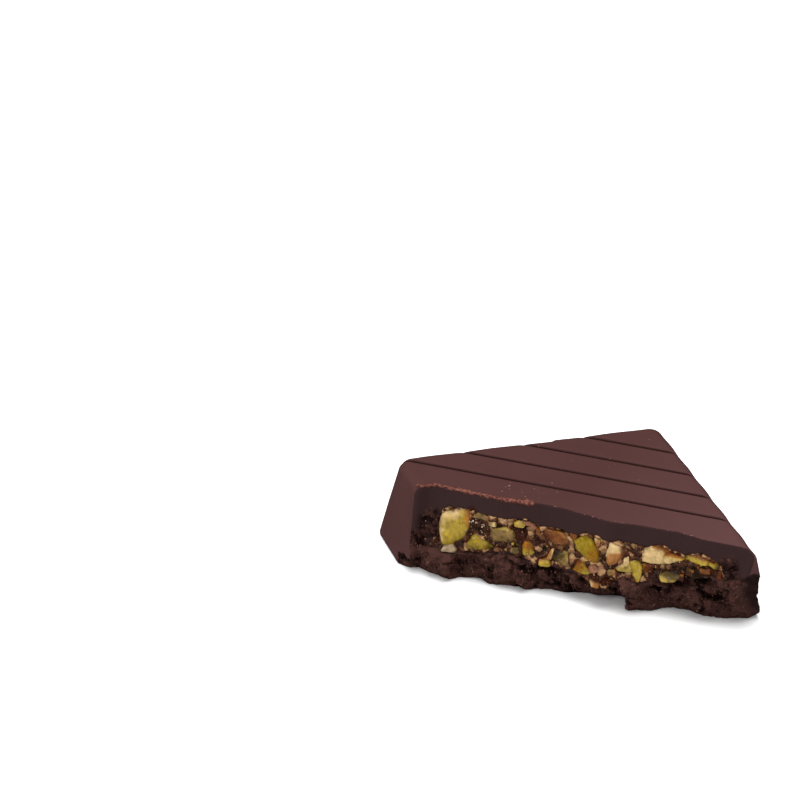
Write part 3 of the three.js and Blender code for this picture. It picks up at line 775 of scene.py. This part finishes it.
# Where the filling is darkest and lightest: [t, z, width, height]
DARK_PATCHES = [[-11.5, 8, 2.2, 1.4], [16.5, 7.7, 3.4, 1.5], [-17, 6, 1, 3], [19.5, 7.2, 2.5, 1]]
LIGHT_PATCH = [4, 7, 9, 5]

# Where the bits and the painted glint specks lie: their ranges of t, and the middle, spread and
# share of the specks that lie in a heap
BITS_T = (-16.9, 21.6)
GLINT_T = (-16.5, 21)
GLINT_HEAP = [[-11.6, 7.8], [0.7, 0.4]]
GLINT_HEAP_SHARE = 0.3

# How far the filling's face lies behind the knife's, how uneven it is, and how much further back it
# lies behind a chopped piece
FACE_BACK = 0.2
FACE_UNEVEN = 0.25
FACE_BEHIND = 0.5

# How chopped pieces are shaped: the power that keeps their edges tight, how much larger than their
# outlines they are, how finely they are meshed, the least angle that stays a sharp edge, the turns
# between the chips and their depth, and how brown their rims are
OUTLINE_POWER = 90
OUTLINE_GROWTH = 1.1
PIECE_DETAIL = 4
SHARP_ANGLE = math.radians(24)
CHIP_TURNS = np.array([0, 1.9, 3.6])
CHIP_DEPTH = 0.32
RIM_SHARE = 0.6


def ball(detail):
    """An icosphere of radius one, as points and triangles."""
    made = bmesh.new()
    bmesh.ops.create_icosphere(made, subdivisions=detail, radius=1)
    points = np.array([v.co[:] for v in made.verts])
    faces = np.array([[v.index for v in f.verts] for f in made.faces])
    made.free()
    return points, faces


def rounded_block(normals, reaches, directions):
    """Where each direction leaves a block with rounded edges that is bounded by planes."""
    pushes = np.maximum(directions @ (normals / reaches[:, None]).T, 0)
    return directions / ((pushes ** OUTLINE_POWER).sum(1) ** (1 / OUTLINE_POWER))[:, None]


def chopped(outline, out, deep, base, tints, seed, sphere):
    """One chopped piece: its points, and their colours."""
    outline = np.array(outline, float)
    middle = outline.mean(0)
    local = (outline - middle) * OUTLINE_GROWTH
    half = (local.max(0) - local.min(0)) / 2
    step = np.roll(local, -1, 0) - local
    normal = np.stack([step[:, 1], -step[:, 0]], 1)
    normal /= np.linalg.norm(normal, axis=1)[:, None]
    reach = (normal * local).sum(1)
    normal[reach < 0] *= -1
    reach = np.maximum(np.abs(reach), 0.05)
    rng = np.random.default_rng(seed)
    normals = [[n[0], 0, n[1]] for n in normal]
    normals += [[rng.uniform(-0.2, 0.2), -1, rng.uniform(-0.2, 0.2)], [0, 1, 0]]
    middle_depth = (deep + out) / 2
    reaches = [*reach, middle_depth, middle_depth]
    for way in rng.uniform(0, 2 * math.pi) + CHIP_TURNS:
        corner = (local @ [math.cos(way), math.sin(way)]).max()
        normals.append([math.cos(way), -1, math.sin(way)])
        reaches.append(middle_depth + corner - CHIP_DEPTH * min(1, half.min()))
    size = np.array([half[0], middle_depth, half[1]])
    shape = rounded_block(np.array(normals) * size, np.array(reaches), sphere)
    local = shape * size
    wobble = 0.15 * noise(*(local + seed).T, 0.9, 21) + 0.09 * noise(*(local + seed).T, 0.35, 22)
    wobble = wobble * min(1, 0.8 * half.min())
    local = local + sphere * wobble[:, None]
    t, z = middle[0] + local[:, 0], middle[1] + local[:, 2]
    s = knife_face(t, z) + (deep - out) / 2 + local[:, 1]
    colour = np.broadcast_to(linear(*base), shape.shape)
    blur = 0.22 * noise(t, s, z, 0.8, 23) + 0.12 * noise(t, s, z, 0.35, 24)
    # Some pale tints are partly painted highlights
    for tint, way, start, end in tints:
        turn = (shape[:, 0] * way[0] + shape[:, 2] * way[1]) / math.hypot(*way) + blur
        share = eased((turn - start) / (end - start))[:, None]
        colour = colour * (1 - share) + linear(*tint) * share
    edge = np.max(shape[:, [0, 2]] @ (normal * half / reach[:, None]).T, axis=1)
    rim = eased((edge + 0.5 * blur - 0.84) / 0.2)[:, None] * RIM_SHARE
    grain = 0.24 * noise(t, s, z, 0.3, 25) + 0.16 * noise(t, s, z, 0.16, 26)
    colour = colour * (1 + grain)[:, None]
    return np.stack([t, s, z], 1), colour * (1 - rim) + linear(*RUST) * rim


def filling_piece(name, points, faces, material, colours, sharp=None):
    return piece(name, points, faces, material, "nut_filling", "pistachio_filling", sharp,
                 paint=colours)


def pieces_of(rows, name, material, seed):
    """The chopped pieces of one kind, as one piece of the scene."""
    sphere, triangles = ball(PIECE_DETAIL)
    points, faces, colours = [], [], []
    for k, row in enumerate(rows):
        made, colour = chopped(*row, seed + k, sphere)
        faces.append(triangles + len(made) * k)
        points.append(made)
        colours.append(colour)
    points, faces, colours = map(np.concatenate, (points, faces, colours))
    return filling_piece(name, points, faces, material, colours, SHARP_ANGLE)


def bits(place, palette, count, low, high, seed, detail=2):
    """Small rough bits of sizes from low to high at random places: their points, triangles and
    colours."""
    rng = np.random.default_rng(seed)
    sphere, triangles = ball(detail)
    points, faces, colours = [], [], []
    for k in range(count):
        size = low * (high / low) ** (rng.random() ** 1.6)
        normals = rng.normal(size=(5, 3))
        normals /= np.linalg.norm(normals, axis=1)[:, None]
        normals = np.concatenate([normals, np.eye(3), -np.eye(3)])
        reaches = np.append(rng.uniform(0.45, 0.9, 5), rng.uniform(0.7, 1, 6))
        shape = rounded_block(normals, reaches, sphere)
        stretch = rng.uniform(0.55, 1.35, 3)
        middle = place(rng, size)
        made = shape * stretch * size / 2 + middle
        faces.append(triangles + len(sphere) * k)
        points.append(made)
        shade = rng.uniform(0.75, 1.15)
        colour = linear(*palette[rng.integers(len(palette))]) * shade
        colours.append(np.broadcast_to(colour, made.shape))
    return np.concatenate(points), np.concatenate(faces), np.concatenate(colours)


def clearance(t, z):
    """Distance on the cut outside the nearest outline of a chopped piece."""
    nearest = np.full(np.shape(t), 9.0)
    for outline in [np.array(row[0], float) for row in NUT_PIECES + SYRUP_PIECES]:
        farthest = np.full(np.shape(t), -9.0)
        for (t0, z0), (t1, z1) in zip(outline, np.roll(outline, -1, 0)):
            outside = (t1 - t0) * (z - z0) - (z1 - z0) * (t - t0)
            farthest = np.maximum(farthest, outside / math.hypot(t1 - t0, z1 - z0))
        nearest = np.minimum(nearest, farthest)
    return nearest


def filling_face(t, z):
    """The face of the filling at the cut, as s. It is further back behind the chopped pieces."""
    behind = eased(0.5 - clearance(t, z) / 0.4)
    uneven = FACE_UNEVEN * noise(t, 0, z, 1.1, 31)
    return knife_face(t, z) + FACE_BACK + uneven + FACE_BEHIND * behind


def fused(t, s, z):
    """Height of the crumbs that are fused into the filling, and a number from -1 to 1 for each."""
    bent_t = t + 0.14 * noise(t, s, z, 0.6, 32)
    bent_z = z + 0.14 * noise(t, s, z, 0.6, 33) + 0.4 * s
    large, _ = lumps(bent_t, bent_z, 1.1, 4)
    small, tone = lumps(bent_t, bent_z, 0.5, 5)
    return 0.42 * large + 0.3 * small + 0.1 * noise(t, s, z, 0.24, 34) + 0.22, tone


def filling_core():
    """The filling that the chopped pieces and bits lie in."""
    fine, coarse = 1.1 * SPACING, FILLING_COARSER * SPACING
    across = joined(axis(FILLING_S[0], 0, fine), axis(coarse, FILLING_S[1], coarse))
    axes = (axis(*FILLING_T, fine), across, axis(*FILLING_Z, fine))
    t, s, z = np.meshgrid(*axes, indexing="ij")
    ahead = filling_face(t[:, 0], z[:, 0])[:, None] - s
    rows, at = chosen_places(axes, np.abs(ahead) < 1.2)
    ahead[rows] -= fused(*at)[0]
    space = pocket(t, s, z) - 0.08
    points, quads = surface(np.maximum(space, ahead).astype(np.float32), axes)
    t, s, z = points.T
    height, tone = fused(t, s, z)
    rise = eased(1 - (along(CEILING_LINE, t) - z) / 0.9) * eased((5 - s) / 2)
    rank = (tone + 1) / 2 + 0.05 + 0.2 * rise + 0.15 * noise(t, s, z, 1.2, 35)
    for patch in DARK_PATCHES:
        rank = rank - 0.5 * blob(t, z, *patch)
    rank = rank + 0.22 * blob(t, z, *LIGHT_PATCH)
    rank = np.clip(rank, 0, 0.999)
    colour = np.array([linear(*c) for c in MASS])[(rank * len(MASS)).astype(int)]
    # Painted shade: the filling is darker in the creases between its fused crumbs
    crease_shade = 0.45 + 0.55 * eased(height / 0.5 + 0.6)
    colour = colour * ((1 + 0.25 * noise(t, s, z, 0.2, 36)) * crease_shade)[:, None]
    material = painted_material("praline", 0.1, 0.0003, Specular_IOR_Level=0.4)
    return filling_piece("filling_core", points, quads, material, colour)


def filling_bits():
    """Small chopped bits between the large pieces."""
    def place(rng, size):
        while True:
            t = rng.uniform(*BITS_T)
            z = rng.uniform(along(BREAK_TOP, t) + 0.1, along(CEILING_LINE, t) - 0.05)
            if clearance(t, z) > -0.1:
                return np.array([t, filling_face(t, z) + rng.uniform(-0.15, 0.2) * size, z])
    points, faces, colours = bits(place, BIT_COLOURS, count=420, low=0.2, high=0.8, seed=41)
    for patch in DARK_PATCHES:
        colours = colours * (1 - 0.6 * blob(points[:, 0], points[:, 2], *patch))[:, None]
    material = painted_material("chopped_bits", 0.12, 0.00012, Specular_IOR_Level=0.4)
    return filling_piece("filling_bits", points, faces, material, colours, SHARP_ANGLE)


def glint_specks():
    """Pale specks on the filling that paint glints, thickest where it is darkest at the left."""
    def place(rng, size):
        if rng.random() < GLINT_HEAP_SHARE:
            t, z = rng.normal(*GLINT_HEAP)
        else:
            t = rng.uniform(*GLINT_T)
            z = rng.uniform(along(BREAK_TOP, t) + 0.2, along(CEILING_LINE, t) - 0.1)
        return np.array([t, knife_face(t, z) + rng.uniform(-0.15, 0.1), z])
    points, faces, colours = bits(place, GLINT_COLOURS, count=150, low=0.1, high=0.24, seed=71,
                                  detail=1)
    material = painted_material("glint_speck", 0.12, 0.00005, Specular_IOR_Level=0.4)
    return filling_piece("glint_specks", points, faces, material, colours)


def chocolate_crumbs(shell):
    """Loose crumbs that cling to the break and to the ridge."""
    count = len(shell.data.vertices)
    zone = np.empty(count * 4, np.float32)
    shell.data.attributes["zone"].data.foreach_get("color", zone)
    zone = zone.reshape(-1, 4)
    co = np.empty(count * 3, np.float32)
    shell.data.vertices.foreach_get("co", co)
    # Back from the part's frame to t, s and z
    co = co.reshape(-1, 3) / MILLIMETRE - np.array([*MOULD_CENTRE, 0])
    cosine, sine = math.cos(CUT_TURN), math.sin(CUT_TURN)
    turned = np.concatenate([co[:, :2] @ np.array([[cosine, -sine], [sine, cosine]]), co[:, 2:]], 1)
    rough = np.maximum(zone[:, 1], zone[:, 2]) > 0.8
    chosen = turned[rough & (turned[:, 1] < 1.5) & (turned[:, 2] > 0.3)]

    def place(rng, size):
        middle = chosen[rng.integers(len(chosen))]
        return middle + np.array([0, -0.2 * size, 0.1 * size])
    points, faces, colours = bits(place, CRUMB_COLOURS, count=700, low=0.1, high=0.42, seed=51)
    material = painted_material("chocolate_crumb", 0.5, 0.00005, Specular_IOR_Level=0.3)
    return piece("chocolate_crumbs", points, faces, material, "dark_chocolate", None, paint=colours)


def dust():
    """Specks of chocolate on the top face, most of them near the cut."""
    def place(rng, size):
        while True:
            around, spread = DUST[rng.integers(len(DUST))]
            t, s = rng.normal(around, spread)
            s = max(s, along(KNIFE_LINE, t) + 0.1)
            if rounded_square(*mould_place(t, s), TOP_SIDE / 2, CORNER_RADIUS) < -1.2:
                return np.array([t, s, HEIGHT - 0.02])
    points, faces, colours = bits(place, DUST_COLOURS, count=90, low=0.09, high=0.2, seed=61,
                                  detail=1)
    material = painted_material("chocolate_dust", 0.5, 0.00001, Specular_IOR_Level=0.1)
    return piece("chocolate_dust", points, faces, material, "dark_chocolate", None, paint=colours)


shell = chocolate()
filling_core()
nut = painted_material("nut", 0.12, 0.00014, Specular_IOR_Level=0.4,
                       Subsurface_Weight=0.2, Subsurface_Radius=(0.0008, 0.0006, 0.0002))
pieces_of(NUT_PIECES, "chopped_nuts", nut, seed=100)
caramel = painted_material("caramel", 0.08, 0.0004, Specular_IOR_Level=0.5)
pieces_of(SYRUP_PIECES, "caramel_pieces", caramel, seed=200)
filling_bits()
glint_specks()
chocolate_crumbs(shell)
dust()


TABLE_HALF = 3
WORLD_STRENGTH = 0.8


def floor():
    made = Shader("white_table", Roughness=0.9, Specular_IOR_Level=0.1)
    tone = made.mix(made.noise(0.4, 2), (0.9, 0.9, 0.9), (0.92, 0.92, 0.92))
    made.set(made.shader, {"Base Color": tone})
    mesh = bpy.data.meshes.new("table")
    far = TABLE_HALF
    corners = [(-far, -far, 0), (far, -far, 0), (far, far, 0), (-far, far, 0)]
    mesh.from_pydata(corners, [], [(0, 1, 2, 3)])
    mesh.materials.append(made.material)
    table = bpy.data.objects.new("table", mesh)
    bpy.context.scene.collection.objects.link(table)
    table.visible_glossy = False


# The lamps in metres and watts: name, place, size, power, and whether glossy surfaces mirror it.
# They mirror only the two small ones, so that gloss shows as glints and not as haze.
LAMPS = [
    ("overhead", (0, -0.08, 1.0), 0.9, 12, False),
    ("left", (-1.0, -0.2, 0.45), 0.8, 4.5, False),
    ("glint_left", (-0.5, -0.8, 0.5), 0.09, 1.0, True),
    ("glint_right", (0.2, -0.75, 0.75), 0.09, 1.0, True),
]


def lamp(name, place, size, power, mirrored):
    data = bpy.data.lights.new(name, "AREA")
    data.shape = "DISK"
    data.size = size
    data.energy = power
    light = bpy.data.objects.new(name, data)
    bpy.context.scene.collection.objects.link(light)
    light.rotation_mode = "QUATERNION"
    light.rotation_quaternion = (Vector() - Vector(place)).to_track_quat("-Z", "Y")
    light.location = place
    light.visible_glossy = mirrored


def studio():
    world = bpy.data.worlds.new("studio")
    world.use_nodes = True
    world.node_tree.nodes["Background"].inputs["Color"].default_value = (1, 1, 1, 1)
    world.node_tree.nodes["Background"].inputs["Strength"].default_value = WORLD_STRENGTH
    world.cycles_visibility.glossy = False
    bpy.context.scene.world = world
    bpy.context.scene.view_settings.view_transform = "Standard"


floor()
for row in LAMPS:
    lamp(*row)
studio()

# The camera: its place in metres, its turns in radians, and its lens in millimetres
CAMERA_PLACE = (0.207093, -0.456872, 0.275720)
CAMERA_AZIMUTH = math.radians(27.3935)
CAMERA_PITCH = 0.4697
CAMERA_ROLL = 0.0211
CAMERA_LENS = 193.96


def camera():
    data = bpy.data.cameras.new("camera")
    data.sensor_width = 36
    data.lens = CAMERA_LENS
    data.clip_start, data.clip_end = 0.05, 20
    view = bpy.data.objects.new("camera", data)
    bpy.context.scene.collection.objects.link(view)
    azimuth = Matrix.Rotation(CAMERA_AZIMUTH, 4, "Z")
    pitch = Matrix.Rotation(math.pi / 2 - CAMERA_PITCH, 4, "X")
    roll = Matrix.Rotation(CAMERA_ROLL, 4, "Z")
    view.matrix_world = Matrix.Translation(CAMERA_PLACE) @ (azimuth @ pitch) @ roll
    bpy.context.scene.camera = view


camera()
